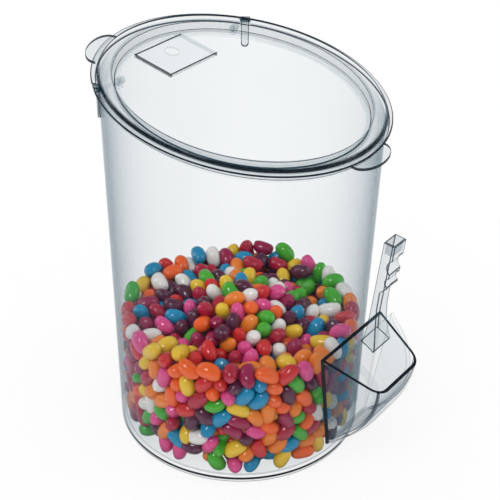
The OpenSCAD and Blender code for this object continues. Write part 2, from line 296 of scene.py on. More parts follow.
@dataclass(frozen=True)
class Band:
    """A zone of a turned form that gets one shade. Sizes are millimetres."""

    shade: float
    inner: float = 0.0
    outer: float = math.inf
    low: float = -math.inf
    high: float = math.inf
    steep: float = -1.0
    turn: float = 0.0
    spread: float = math.inf

    def holds(self, face: Face) -> bool:
        """Tells whether a face lies in the zone.

        Args:
            face: a face of a form with fresh normals.

        Returns:
            True if its middle is in the zone and it is steep enough.
        """
        middle = face.calc_center_median()
        inside = self.inner < radius_of(middle) < self.outer and self.low < middle.z < self.high
        steep = 1.0 - abs(face.normal.z) > self.steep
        return inside and steep and abs(angle_gap(turn_of(middle), self.turn)) < self.spread


def banded(*bands: Band) -> Tone:
    """A tone that gives the shade of the first band that holds a face, or 0."""
    return lambda face: next((band.shade for band in bands if band.holds(face)), 0.0)


# ------------------------------------------------------------------ mesh building
class Form:
    """A mesh in the making, with the bmesh steps that the pieces share. Sizes are millimetres."""

    def __init__(self) -> None:
        """Starts an empty mesh with a shade and a glance for each face."""
        self.bm = bmesh.new()
        for name in (SHADE, GLANCE):
            self.bm.faces.layers.float.new(name)

    @property
    def shade(self) -> bmesh.types.BMLayerItem:
        """The layer of the faces' shades."""
        return self.bm.faces.layers.float[SHADE]

    def outline(self, points: Iterable[Sequence[float]]) -> Face:
        """Joins a few corners to one face."""
        return self.bm.faces.new([self.bm.verts.new(p) for p in points])

    def lathe(self, corners: Sequence[Sequence[float]], steps: int, segments: int = 5) -> None:
        """Turns a profile once round the upright axis.

        Args:
            corners: radius, height and rounding of each corner in order.
            steps: steps in the full turn.
            segments: steps of each rounding.
        """
        bm = self.bm
        self.outline([(radius, 0, height) for radius, height, _ in corners])
        for radius, height, rounding in corners:
            if rounding:
                near = min(bm.verts, key=lambda v: (v.co - Vector((radius, 0, height))).length)
                bmesh.ops.bevel(
                    bm, geom=[near], offset=rounding, segments=segments, profile=0.5, affect="VERTICES",
                    material=-1,
                )
        bmesh.ops.delete(bm, geom=list(bm.faces), context="FACES_ONLY")
        axis = [e for e in bm.edges if max(abs(v.co.x) for v in e.verts) < 1e-6]
        bmesh.ops.delete(bm, geom=axis, context="EDGES")
        bmesh.ops.spin(
            bm, geom=[*bm.verts, *bm.edges], cent=(0, 0, 0), axis=(0, 0, 1), dvec=(0, 0, 0),
            angle=2 * math.pi, steps=steps, use_merge=True,
        )
        bmesh.ops.remove_doubles(bm, verts=bm.verts, dist=1e-4)

    def pull(self, faces: Sequence[Face], way: Sequence[float]) -> list[Face]:
        """Extrudes faces and moves what is new.

        Args:
            faces: the faces to extrude.
            way: how far they move.

        Returns:
            The moved faces.
        """
        made = bmesh.ops.extrude_face_region(self.bm, geom=list(faces))["geom"]
        bmesh.ops.translate(self.bm, vec=way, verts=[g for g in made if isinstance(g, bmesh.types.BMVert)])
        return [g for g in made if isinstance(g, Face)]

    def block(self, size: Sequence[float], middle: Vector, rounding: float, tone: float,
              among: Callable[[bmesh.types.BMEdge], bool] | None = None) -> "Form":
        """Makes an empty form a rounded block.

        Args:
            size: its size along X, Y and Z.
            middle: its middle.
            rounding: width of its rounds.
            tone: shade of its rounds.
            among: picks the edges that are rounded, or all.

        Returns:
            This form.
        """
        bmesh.ops.create_cube(self.bm, size=1.0)
        bmesh.ops.scale(self.bm, vec=size, verts=self.bm.verts)
        bmesh.ops.translate(self.bm, vec=middle, verts=self.bm.verts)
        self.soften(rounding, tone, among=among)
        return self

    def sheet(self, rows: Sequence[Sequence[Vector]]) -> None:
        """Adds a grid that lies on rows of points and closes on itself where they do.

        Args:
            rows: rows with the same number of points.
        """
        made = bmesh.ops.create_grid(self.bm, x_segments=len(rows[0]) - 1, y_segments=len(rows) - 1, size=1.0)
        verts = sorted(made["verts"], key=lambda v: (round(v.co.y, 4), v.co.x))
        for vert, point in zip(verts, (point for row in rows for point in row)):
            vert.co = point
        if (rows[0][0] - rows[0][-1]).length < 1e-6:
            bmesh.ops.remove_doubles(self.bm, verts=verts, dist=1e-5)

    def bridge(self, edges: Sequence[bmesh.types.BMEdge], tone: float) -> None:
        """Joins two loops of edges with faces of one shade."""
        for face in bmesh.ops.bridge_loops(self.bm, edges=list(edges))["faces"]:
            face[self.shade] = tone

    def warp(self, move: Callable[[Vector], Vector]) -> "Form":
        """Moves each vertex by a rule.

        Args:
            move: gives a point its new place.

        Returns:
            This form.
        """
        for vert in self.bm.verts:
            vert.co = move(vert.co)
        return self

    def paint(self, tone: Tone) -> None:
        """Shades each face and keeps what is darker.

        Args:
            tone: gives a face its shade, from 0, clear, to 1, dark.
        """
        self.bm.normal_update()
        layer = self.shade
        for face in self.bm.faces:
            face[layer] = max(face[layer], tone(face))

    def polish(self, picks: Callable[[Face], bool]) -> None:
        """Marks the faces that darken where they are seen edge on.

        Args:
            picks: tells whether a face does.
        """
        self.bm.normal_update()
        layer = self.bm.faces.layers.float[GLANCE]
        for face in self.bm.faces:
            face[layer] = float(picks(face))

    def soften(self, width: float, tone: float, angle: float = SHARP,
               among: Callable[[bmesh.types.BMEdge], bool] | None = None) -> None:
        """Rounds the sharp edges and shades the rounds.

        Args:
            width: width of the round.
            tone: shade of the round.
            angle: least angle of an edge that is rounded.
            among: picks edges, or all.
        """
        edges = [
            e for e in self.bm.edges
            if len(e.link_faces) == 2 and e.calc_face_angle(0.0) > angle and (among is None or among(e))
        ]
        made = bmesh.ops.bevel(
            self.bm, geom=edges, offset=width, segments=3, profile=0.5, affect="EDGES", material=-1,
            clamp_overlap=True,
        )
        for face in made["faces"]:
            face[self.shade] = tone

    def join(self, other: "Form") -> "Form":
        """Adds another form's mesh to this one.

        Args:
            other: the form, which is used up.

        Returns:
            This form.
        """
        spare = bpy.data.meshes.new("spare")
        other.bm.to_mesh(spare)
        other.bm.free()
        self.bm.from_mesh(spare)
        bpy.data.meshes.remove(spare)
        return self

    def _finished(self, name: str, material: bpy.types.Material) -> bpy.types.Object:
        """Turns the form into an object in metres.

        Args:
            name: the object's name.
            material: its material.

        Returns:
            The object, smooth but for its sharp edges.
        """
        bm = self.bm
        bmesh.ops.recalc_face_normals(bm, faces=bm.faces)
        bmesh.ops.scale(bm, vec=(MM, MM, MM), verts=bm.verts)
        for face in bm.faces:
            face.smooth = True
        for edge in bm.edges:
            edge.smooth = len(edge.link_faces) != 2 or edge.calc_face_angle(0.0) < SHARP
        mesh = bpy.data.meshes.new(name)
        bm.to_mesh(mesh)
        bm.free()
        mesh.materials.append(material)
        made = bpy.data.objects.new(name, mesh)
        bpy.context.scene.collection.objects.link(made)
        return made

    def stage(self, name: str, material: bpy.types.Material) -> None:
        """Turns the form into something that stands with the bin and is no piece of it."""
        self._finished(name, material)

    def piece(self, node: str, body: str, slot: str, finish: Finish) -> None:
        """Turns the form into a piece of the bin.

        Args:
            node: the CAD node that it replaces.
            body: the body it moves with.
            slot: the record's material slot; not used.
            finish: its finish.
        """
        made = self._finished(node + "_clear", finish.made())
        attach(made, body)
        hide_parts(node)
        LOG.info("%s: %d faces on %s", made.name, len(made.data.polygons), body)


# ------------------------------------------------------------------ shared sizes
@dataclass(frozen=True)
class Mouth:
    """The slanted mouth that the body, the lid ring and the flap share. Sizes are millimetres."""

    height: float = 296.0
    slope: float = math.radians(10.5)
    base_r: float = 100.0
    draft: float = math.tan(math.radians(1.2))
    wall: float = 3.0
    bead_out: float = 1.4
    hinge_v: float = 63.5
    hinge_up: float = 2.6
    clip_nudge: float = math.radians(1.8)
    steps: int = 360
    tube_steps: int = 32

    @property
    def wall_r(self) -> float:
        """Outer radius of the wall at the mouth's centre height."""
        return self.base_r + self.height * self.draft

    @property
    def bead_r(self) -> float:
        """Outer radius of the lid's bead."""
        return self.wall_r + self.bead_out

    @property
    def hinge(self) -> Vector:
        """A point of the hinge line on the plane of symmetry."""
        return self.place(Vector((0, self.hinge_v, self.hinge_up)))

    @property
    def clip_turn(self) -> float:
        """Angle of the hinge clips from the rear point."""
        return math.acos(self.hinge.y / self.bead_r) - self.clip_nudge

    def tilt(self, point: Vector) -> Vector:
        """A point given over a level mouth at zero height, moved up onto the slanted mouth."""
        rise = self.height + point.z / math.cos(self.slope) + point.y * math.tan(self.slope)
        return Vector((point.x, point.y, rise))

    def place(self, point: Vector) -> Vector:
        """A point given in the mouth's own frame, in the bin's frame."""
        return Vector((0, 0, self.height)) + Matrix.Rotation(self.slope, 3, "X") @ point

    def along_hinge(self, form: Form, side: int, start: float) -> Form:
        """Lays a form that stands on the upright axis along the hinge line.

        Args:
            form: the form.
            side: 1 for +X, -1 for -X.
            start: distance of its foot from the plane of symmetry.

        Returns:
            The form.
        """
        hinge = self.hinge
        return form.warp(lambda p: Vector((side * (start + p.z), hinge.y + p.x, hinge.z + p.y)))


# ------------------------------------------------------------------ bin body
@dataclass
class BinBody:
    """Round tapered body with a floor, a standing ring and a flange round its slanted mouth."""

    mouth: Mouth = field(default_factory=Mouth)
    floor: float = 5.0
    recess: float = 1.2
    foot_w: float = 8.0
    pad_r: float = 22.0
    grow: float = 1.2
    rim_w: float = 2.2
    rim_t: float = 2.2
    rim_edge: float = 0.85
    notch_half: float = 5.0
    notch_gap: float = 0.3
    notch_snap: float = 0.9
    base_round: float = 2.6
    floor_fillet: float = 0.9
    corner_line: float = 2.7
    line_low: float = 3.6
    line_high: float = 6.0
    line_gap: float = math.radians(196)
    line_end: float = math.radians(11)

    @property
    def rim_low(self) -> float:
        """Height of the flange's underside over a level mouth."""
        return self.mouth.height - self.rim_t / math.cos(self.mouth.slope)

    def outer(self, z: float) -> float:
        """Outer radius of the dressed wall at a height."""
        return self.mouth.base_r + z * self.mouth.draft + self.grow

    def build(self) -> None:
        """Makes the body."""
        mouth, form = self.mouth, Form()
        top, low, line_z = mouth.height, self.rim_low, self.floor + self.corner_line
        base_r, foot_r, rim_r = self.outer(0.0), mouth.base_r - self.foot_w, self.outer(top) + self.rim_w
        inner, line_r, lip_r = (self.outer(z) - mouth.wall for z in (self.floor, line_z, top))
        form.lathe([
            (0, 0, 0), (self.pad_r, 0, 0.4), (self.pad_r, self.recess, 0), (foot_r, self.recess, 0),
            (foot_r, 0, 0.6), (base_r, 0, self.base_round), (self.outer(self.line_low), self.line_low, 0),
            (self.outer(self.line_high), self.line_high, 0), (self.outer(low), low, 0), (rim_r, low, 0.9),
            (rim_r, top, 0.6), (lip_r, top, 0.7), (line_r, line_z, 0), (inner, self.floor, self.floor_fillet),
            (0, self.floor, 0),
        ], mouth.steps)
        rim_zone, wall_zone, floor_r = top - self.rim_t - 0.5, base_r - 0.5, base_r - mouth.wall
        line = {"inner": wall_zone, "low": self.line_low, "high": self.line_high}
        form.paint(banded(
            Band(0.9, inner=rim_r - self.rim_edge, low=rim_zone, high=top - self.rim_t / 2),
            Band(0.03, low=rim_zone),
            Band(0.1, turn=self.line_gap, spread=self.line_end, **line),
            Band(LINE, **line),
            Band(0.25, inner=floor_r - self.floor_fillet, outer=floor_r + self.floor_fillet,
                 low=self.floor - 0.1, high=line_z),
            Band(0.22, inner=floor_r, high=self.base_round),
        ))
        form.polish(self._outside)
        form.warp(self._slant)
        form.piece("bin_body", "bin", "clear_body", Finish.WALL)

    def _outside(self, face: Face) -> bool:
        """True for the wall's outer faces."""
        middle = face.calc_center_median()
        return radius_of(middle) > self.outer(middle.z) - 0.5 and abs(face.normal.z) < 0.5

    def _slant(self, point: Vector) -> Vector:
        """Brings a point of the level form onto the slanted mouth, in step with its height.

        Args:
            point: the point.

        Returns:
            Its place, with the flange cut back at the hinge clips.
        """
        mouth, foot = self.mouth, self.floor + self.corner_line + 1.0
        share = min(max((point.z - foot) / (self.rim_low - foot), 0.0), 1.0)
        radius, turn, wall_r = radius_of(point), turn_of(point), self.outer(mouth.height)
        if radius > wall_r + self.notch_gap:
            for side in SIDES:
                gap = angle_gap(turn, side * mouth.clip_turn)
                if abs(gap) * wall_r < self.notch_half - self.notch_snap:
                    radius = wall_r + self.notch_gap
                elif abs(gap) * wall_r < self.notch_half + self.notch_snap:
                    turn = side * mouth.clip_turn + math.copysign(self.notch_half / wall_r, gap)
            point = at_turn(point, radius, turn)
        rise = share * point.y * math.tan(mouth.slope)
        if share > 0 and radius <= wall_r + self.notch_gap:
            point = at_turn(point, radius + rise * mouth.draft)
        return Vector((point.x, point.y, point.z + rise))


# ------------------------------------------------------------------ lid
@dataclass
class LidRing:
    """Ring on the mouth with a rounded bead, a plug, a ledge under the flap and two lift tabs."""

    mouth: Mouth = field(default_factory=Mouth)
    deck_t: float = 2.5
    deck_w: float = 6.2
    deck_shift: float = 0.5
    deck_round: float = 0.9
    bead_h: float = 2.8
    bead_w: float = 10.8
    bead_round: float = 1.8
    bead_foot: float = 1.2
    plug_h: float = 9.0
    plug_r: float = 101.8
    plug_round: float = 0.8
    ledge_w: float = 5.0
    ledge_t: float = 1.8
    ledge_low: float = -6.6
    ledge_end: float = 48.0
    tab_half: float = 22.6
    tab_tip: float = 121.9
    tab_start: float = 110.4
    tab_t: float = 1.9
    tab_round: float = 0.9
    tab_steps: int = 28
    tab_turns: tuple[float, ...] = (math.radians(181.5), math.radians(22.2))
    clip_half: float = 4.3

    @property
    def bore_r(self) -> float:
        """Radius of the ring's bore."""
        return self.mouth.bead_r - self.bead_w

    @property
    def deck_r(self) -> float:
        """Outer radius of the deck."""
        return self.mouth.wall_r + self.deck_w

    def build(self) -> None:
        """Makes the ring."""
        form, deck_t = Form(), self.deck_t
        bead_r, bore_r, deck_r = self.mouth.bead_r, self.bore_r, self.deck_r
        crown, ledge_top, ledge_r = deck_t + self.bead_h, self.ledge_low + self.ledge_t, bore_r - self.ledge_w
        form.lathe([
            (bore_r, -self.plug_h, self.plug_round), (bore_r, self.ledge_low, 0),
            (ledge_r, self.ledge_low, 0),
            (ledge_r, ledge_top, 0), (bore_r, ledge_top, 0), (bore_r, crown, self.bead_round),
            (bead_r, crown, self.bead_round), (bead_r, deck_t, self.bead_foot),
            (deck_r, deck_t, self.deck_round), (deck_r, 0, 0.5), (self.plug_r, 0, 0),
            (self.plug_r, -self.plug_h, self.plug_round),
        ], self.mouth.steps)
        shoulder = crown - self.bead_round
        form.paint(banded(
            Band(LINE, inner=deck_r - self.deck_round, low=deck_t - 0.85),
            Band(0.1, inner=deck_r - self.deck_round),
            Band(LINE, inner=bead_r - self.bead_round, low=deck_t, steep=0.12),
            Band(0.6, inner=bead_r - self.bead_round, low=deck_t),
            Band(0.95, outer=bore_r + 0.6, low=shoulder - 1.6, high=shoulder + 0.7),
            Band(0.2, outer=bore_r + self.bead_round, low=deck_t),
            Band(0.22, outer=bore_r + 0.5, low=ledge_top, steep=0.7),
            Band(0.05, low=deck_t),
            Band(0.16, inner=bead_r, low=0.1),
        ))
        form.polish(Band(1.0, outer=bead_r, low=deck_t + 0.3, steep=0.04).holds)
        form.warp(self._shape)
        for turn in self.tab_turns:
            form.join(self._tab(turn))
        form.warp(self.mouth.tilt)
        form.piece("lid_ring", "lid", "clear_lid", Finish.LID)

    def _tab(self, turn: float) -> Form:
        """A flat lift tab with a rounded outline.

        Args:
            turn: its angle from the rear point.

        Returns:
            The tab over a level mouth.
        """
        form, start, root = Form(), self.tab_start, self.tab_start + 0.3
        reach, side = self.tab_tip - start, math.asin((self.tab_half - 0.2) / start)
        points = [(self.tab_half * math.cos(a), start + reach * math.sin(a), 0)
                  for a in arc_turns(0.0, math.pi, self.tab_steps)]
        points += [(start * math.sin(a), start * math.cos(a), 0)
                   for a in arc_turns(-side, 2 * side, self.tab_steps)]
        form.pull([form.outline(points)], (0, 0, self.tab_t))
        form.paint(banded(Band(0.95, inner=root, steep=0.5), Band(0.0, steep=0.5), Band(0.08)))
        form.soften(
            self.tab_round, LINE, angle=SQUARE,
            among=lambda e: all(radius_of(v.co) > root and v.co.z > self.tab_t / 2 for v in e.verts),
        )
        bmesh.ops.rotate(form.bm, verts=form.bm.verts, matrix=Matrix.Rotation(turn, 3, "Z"))
        return form

    def _shape(self, point: Vector) -> Vector:
        """Moves the deck off centre and cuts the ledge and the clip notches.

        Args:
            point: a point of the ring over a level mouth.

        Returns:
            Its place.
        """
        radius, turn, deck_r = radius_of(point), turn_of(point), self.deck_r
        if radius > self.mouth.bead_r + self.bead_foot + 0.5:
            shift = self.deck_shift
            edge = shift * math.cos(turn) + math.sqrt(deck_r**2 - (shift * math.sin(turn)) ** 2)
            edge -= deck_r - radius
            for middle in (side * self.mouth.clip_turn for side in SIDES):
                gap = angle_gap(turn, middle)
                if abs(gap) * deck_r < self.clip_half + 1.0:
                    if abs(gap) * deck_r < self.clip_half - 0.1:
                        edge = self.mouth.bead_r + 0.05
                    turn = middle + (math.copysign(self.clip_half / deck_r, gap) if abs(gap) > 0.03 else gap)
            return at_turn(point, edge, turn)
        if radius < self.bore_r - 0.1 and point.y > self.ledge_end:
            return at_turn(point, self.bore_r - 0.02)
        return point


@dataclass
class LidFlap:
    """Clear round panel with a thicker edge and two hinge barrels."""

    mouth: Mouth = field(default_factory=Mouth)
    radius: float = 95.9
    thick: float = 1.8
    drop: float = 2.0
    edge_w: float = 3.5
    edge_t: float = 0.7
    edge_round: float = 0.8
    barrel_r: float = 3.0
    bore_r: float = 1.55
    barrel_l: float = 6.0
    barrel_out: float = 70.8
    web_w: float = 4.0

    def build(self) -> None:
        """Makes the flap."""
        form, radius, rim = Form(), self.radius, self.radius - self.edge_w
        high, low = -self.drop, -self.drop - self.thick
        form.lathe([
            (0, low, 0), (rim, low, 0), (rim, low - self.edge_t, 0),
            (radius, low - self.edge_t, self.edge_round), (radius, high + self.edge_t, self.edge_round),
            (rim, high + self.edge_t, 0.5), (rim, high, 0), (0, high, 0),
        ], self.mouth.steps)
        form.paint(banded(
            Band(0.97, inner=radius - 0.7, low=high - 0.3), Band(0.2, inner=radius - 0.7),
            Band(0.9, inner=radius - 1.2, low=high), Band(0.05, inner=rim - 0.6),
        ))
        form.warp(self.mouth.tilt)
        for side in SIDES:
            form.join(self._barrel(side)).join(self._web(side))
        form.piece("lid_flap", "flap", "clear_lid", Finish.PANEL)

    def _barrel(self, side: int) -> Form:
        """A tube round the hinge line.

        Args:
            side: 1 for +X, -1 for -X.

        Returns:
            The tube.
        """
        form, bore, tube, length = Form(), self.bore_r, self.barrel_r, self.barrel_l
        form.lathe([(bore, 0, 0), (tube, 0, 0), (tube, length, 0), (bore, length, 0)], self.mouth.tube_steps)
        form.paint(lambda face: 0.12)
        return self.mouth.along_hinge(form, side, self.barrel_out - length)

    def _web(self, side: int) -> Form:
        """The web between the panel and a barrel.

        Args:
            side: 1 for +X, -1 for -X.

        Returns:
            The web.
        """
        high, low = self.mouth.hinge_up - self.bore_r - 0.4, -self.drop - self.thick / 2
        middle = Vector((side * (self.barrel_out - self.barrel_l / 2), self.mouth.hinge_v, (high + low) / 2))
        size = (self.barrel_l - 1.0, self.web_w, high - low)
        return Form().block(size, middle, 0.3, 0.4).warp(self.mouth.place)


@dataclass
class HingeClip:
    """Block outside the bead with a tongue that hangs down the side of the bin."""

    side: int
    mouth: Mouth = field(default_factory=Mouth)
    width: float = 8.0
    block_in: float = 0.05
    block_out: float = 4.8
    high: float = 3.2
    rounding: float = 0.6
    tongue_w: float = 6.4
    tongue_gap: float = 1.6
    tongue_t: float = 2.2
    tongue_l: float = 21.0
    tongue_top: float = 2.2
    arc_steps: int = 10

    def build(self) -> None:
        """Makes the clip."""
        depth = self.block_out - self.block_in
        middle = Vector((0, self.mouth.bead_r + self.block_in + depth / 2, self.high / 2))
        form = Form().block((self.width, depth, self.high), middle, self.rounding, 0.95)
        form.paint(lambda face: 0.4)
        form.join(self._tongue()).warp(self._around)
        node = "left_hinge_clip" if self.side > 0 else "right_hinge_clip"
        form.piece(node, "lid", "clear_clip", Finish.CLIP)

    def _tongue(self) -> Form:
        """Makes the tongue with its round lower end.

        Returns:
            The tongue at the rear of a level mouth.
        """
        form, half, near = Form(), self.tongue_w / 2, self.mouth.wall_r + self.tongue_gap
        drop = half - self.tongue_l
        points = [(half * math.cos(a), near, drop + half * math.sin(a))
                  for a in arc_turns(math.pi, math.pi, self.arc_steps)]
        face = form.outline([*points, (half, near, self.tongue_top), (-half, near, self.tongue_top)])
        form.pull([face], (0, self.tongue_t, 0))
        form.soften(self.rounding, 0.9, angle=SQUARE)
        for face in form.bm.faces:
            if face.calc_center_median().z > -self.tongue_l / 3:
                face[form.shade] = min(face[form.shade], 0.15)
        return form

    def _around(self, point: Vector) -> Vector:
        """Turns a point to the clip's place on the slanted mouth.

        Args:
            point: a point at the rear of a level mouth.

        Returns:
            Its place.
        """
        turn = Matrix.Rotation(self.side * self.mouth.clip_turn, 3, "Z")
        rise = self.mouth.tilt(turn @ Vector((0, point.y, point.z))).z
        return Vector((*(turn @ point).xy, rise))


@dataclass
class HingePins:
    """Two short pins on the hinge line."""

    mouth: Mouth = field(default_factory=Mouth)
    radius: float = 1.5
    inner: float = 64.3
    outer: float = 87.5
    rounding: float = 0.4

    def build(self) -> None:
        """Makes both pins."""
        form, length, end = Form(), self.outer - self.inner, self.rounding
        for side in SIDES:
            pin = Form()
            pin.lathe([(0, 0, 0), (self.radius, 0, end), (self.radius, length, end), (0, length, 0)],
                      self.mouth.tube_steps, 3)
            form.join(self.mouth.along_hinge(pin, side, self.inner))
        form.piece("hinge_pins", "lid", "clear_clip", Finish.PIN)


@dataclass
class CardHolder:
    """Cover plate on three rails, open to the rear, with a thumb hole."""

    mouth: Mouth = field(default_factory=Mouth)
    front: float = 48.0
    width: float = 56.0
    length: float = 37.0
    plate_t: float = 1.5
    slot: float = 1.6
    rail: float = 2.2
    rounding: float = 0.6
    thumb_r: float = 6.0
    thumb_part: float = 0.62
    thumb_steps: int = 48
    drop: float = 2.0

    def build(self) -> None:
        """Makes the card holder."""
        form, side = self._plate(), (self.width - self.rail) / 2
        for middle, size in (
            ((-side, self.length / 2), (self.rail, self.length)),
            ((side, self.length / 2), (self.rail, self.length)),
            ((0, self.rail / 2), (self.width, self.rail)),
        ):
            rail = Form().block((*size, self.slot), Vector((*middle, self.slot / 2)), self.rounding, LINE,
                                among=self._dark_foot if middle[0] <= 0 else lambda edge: False)
            rail.paint(lambda face: 0.1)
            form.join(rail)
        shift = Vector((0, self.front, -self.drop))
        form.warp(lambda p: self.mouth.place(p + shift))
        form.piece("card_holder", "flap", "clear_card_holder", Finish.CARD)

    def _dark_foot(self, edge: bmesh.types.BMEdge) -> bool:
        """Picks the rails' dark edges.

        Args:
            edge: an edge of a rail.

        Returns:
            True for a lower edge at the front or outside on the -X side.
        """
        low = max(v.co.z for v in edge.verts) < self.slot / 2
        front = min(v.co.y for v in edge.verts) < 0.1
        return low and (front or max(v.co.x for v in edge.verts) < 0.1 - self.width / 2)

    def _plate(self) -> Form:
        """Makes the cover plate round its thumb hole.

        Returns:
            The plate, with its front edge on the X axis.
        """
        form, behind, half = Form(), self.length * self.thumb_part, self.width / 2
        low, high = -behind, self.length - behind
        bmesh.ops.create_circle(form.bm, segments=self.thumb_steps, radius=self.thumb_r)
        edge = bmesh.ops.create_circle(form.bm, segments=self.thumb_steps, radius=self.thumb_r * 2)["verts"]
        for vert in edge:
            x, y = vert.co.x, vert.co.y
            vert.co *= min(half / max(abs(x), 1e-6), (high if y > 0 else -low) / max(abs(y), 1e-6))
        for corner in (Vector((side * half, y, 0)) for side in SIDES for y in (low, high)):
            min(edge, key=lambda v: (v.co - corner).length).co = corner
        form.pull(bmesh.ops.bridge_loops(form.bm, edges=list(form.bm.edges))["faces"], (0, 0, self.plate_t))
        bmesh.ops.translate(form.bm, vec=(0, behind, self.slot), verts=form.bm.verts)
        form.soften(self.rounding, LINE, angle=SQUARE,
                    among=lambda e: (e.verts[0].co.xy - Vector((0, behind))).length > self.thumb_r + 1)
        form.paint(lambda face: 0.0 if abs(face.normal.z) > 0.9 else 0.15)
        for face in form.bm.faces:
            if face.calc_center_median().x > half - self.rounding:
                face[form.shade] = 0.06
        return form


# ------------------------------------------------------------------ scoop holder and scoop
def bend_corner(a: Vector, corner: Vector, b: Vector, radius: float, steps: int) -> list[Vector]:
    """Rounds the corner of a path.

    Args:
        a: the point before the corner.
        corner: the corner.
        b: the point after it.
        radius: distance from the corner at which the round starts.
        steps: steps in the round.

    Returns:
        The points of the round.
    """
    start = corner + (a - corner).normalized() * min(radius, (a - corner).length * 0.95)
    end = corner + (b - corner).normalized() * min(radius, (b - corner).length * 0.45)
    shares = [step / steps for step in range(steps + 1)]
    return [(1 - t) ** 2 * start + 2 * t * (1 - t) * corner + t * t * end for t in shares]


def on_line(a: Vector, b: Vector, steps: int) -> list[Vector]:
    """Evenly spaced points from a to b, without b."""
    return [a.lerp(b, step / steps) for step in range(steps)]


@dataclass(frozen=True)
class Tray:
    """The tapered box and the front arc that the pocket and the scoop share. Sizes are millimetres."""

    back: float = -107.695
    depth: float = 46.0
    top: float = 121.5
    half: float = 42.25
    wall: float = 2.5
    taper: float = 0.16
    narrowing: float = 0.22
    corner: float = 9.0
    arc_r: float = 91.0
    arc_up: float = 0.085
    rim_fall: float = 20.0
    lean: float = math.radians(6)
    corner_steps: int = 8
    front_steps: int = 16

    @property
    def front(self) -> float:
        """Place of the box's front."""
        return self.back - self.depth - self.wall / 2

    @property
    def arc(self) -> Vector:
        """Centre of the front wall's arc."""
        up = self.arc_r * self.arc_up
        return Vector((0, self.front + math.sqrt(self.arc_r**2 - up**2), self.top - self.rim_fall + up))

    def arc_y(self, z: float, radius: float) -> float:
        """Place, at a height, of an arc about the shared centre."""
        return self.arc.y - math.sqrt(max(radius**2 - (z - self.arc.z) ** 2, 0.0))

    def half_at(self, y: float, z: float, inset: float) -> float:
        """Half width of the tapered box at a place and height, less an inset."""
        share = (self.back - y) / (self.back - self.front)
        return self.half - self.taper * (self.top - z) - inset - self.narrowing * self.depth * share

    def rim(self, y: float) -> float:
        """Height of the pocket's rim at a place from back to front."""
        return self.top + (y - self.back) * self.rim_fall / self.depth


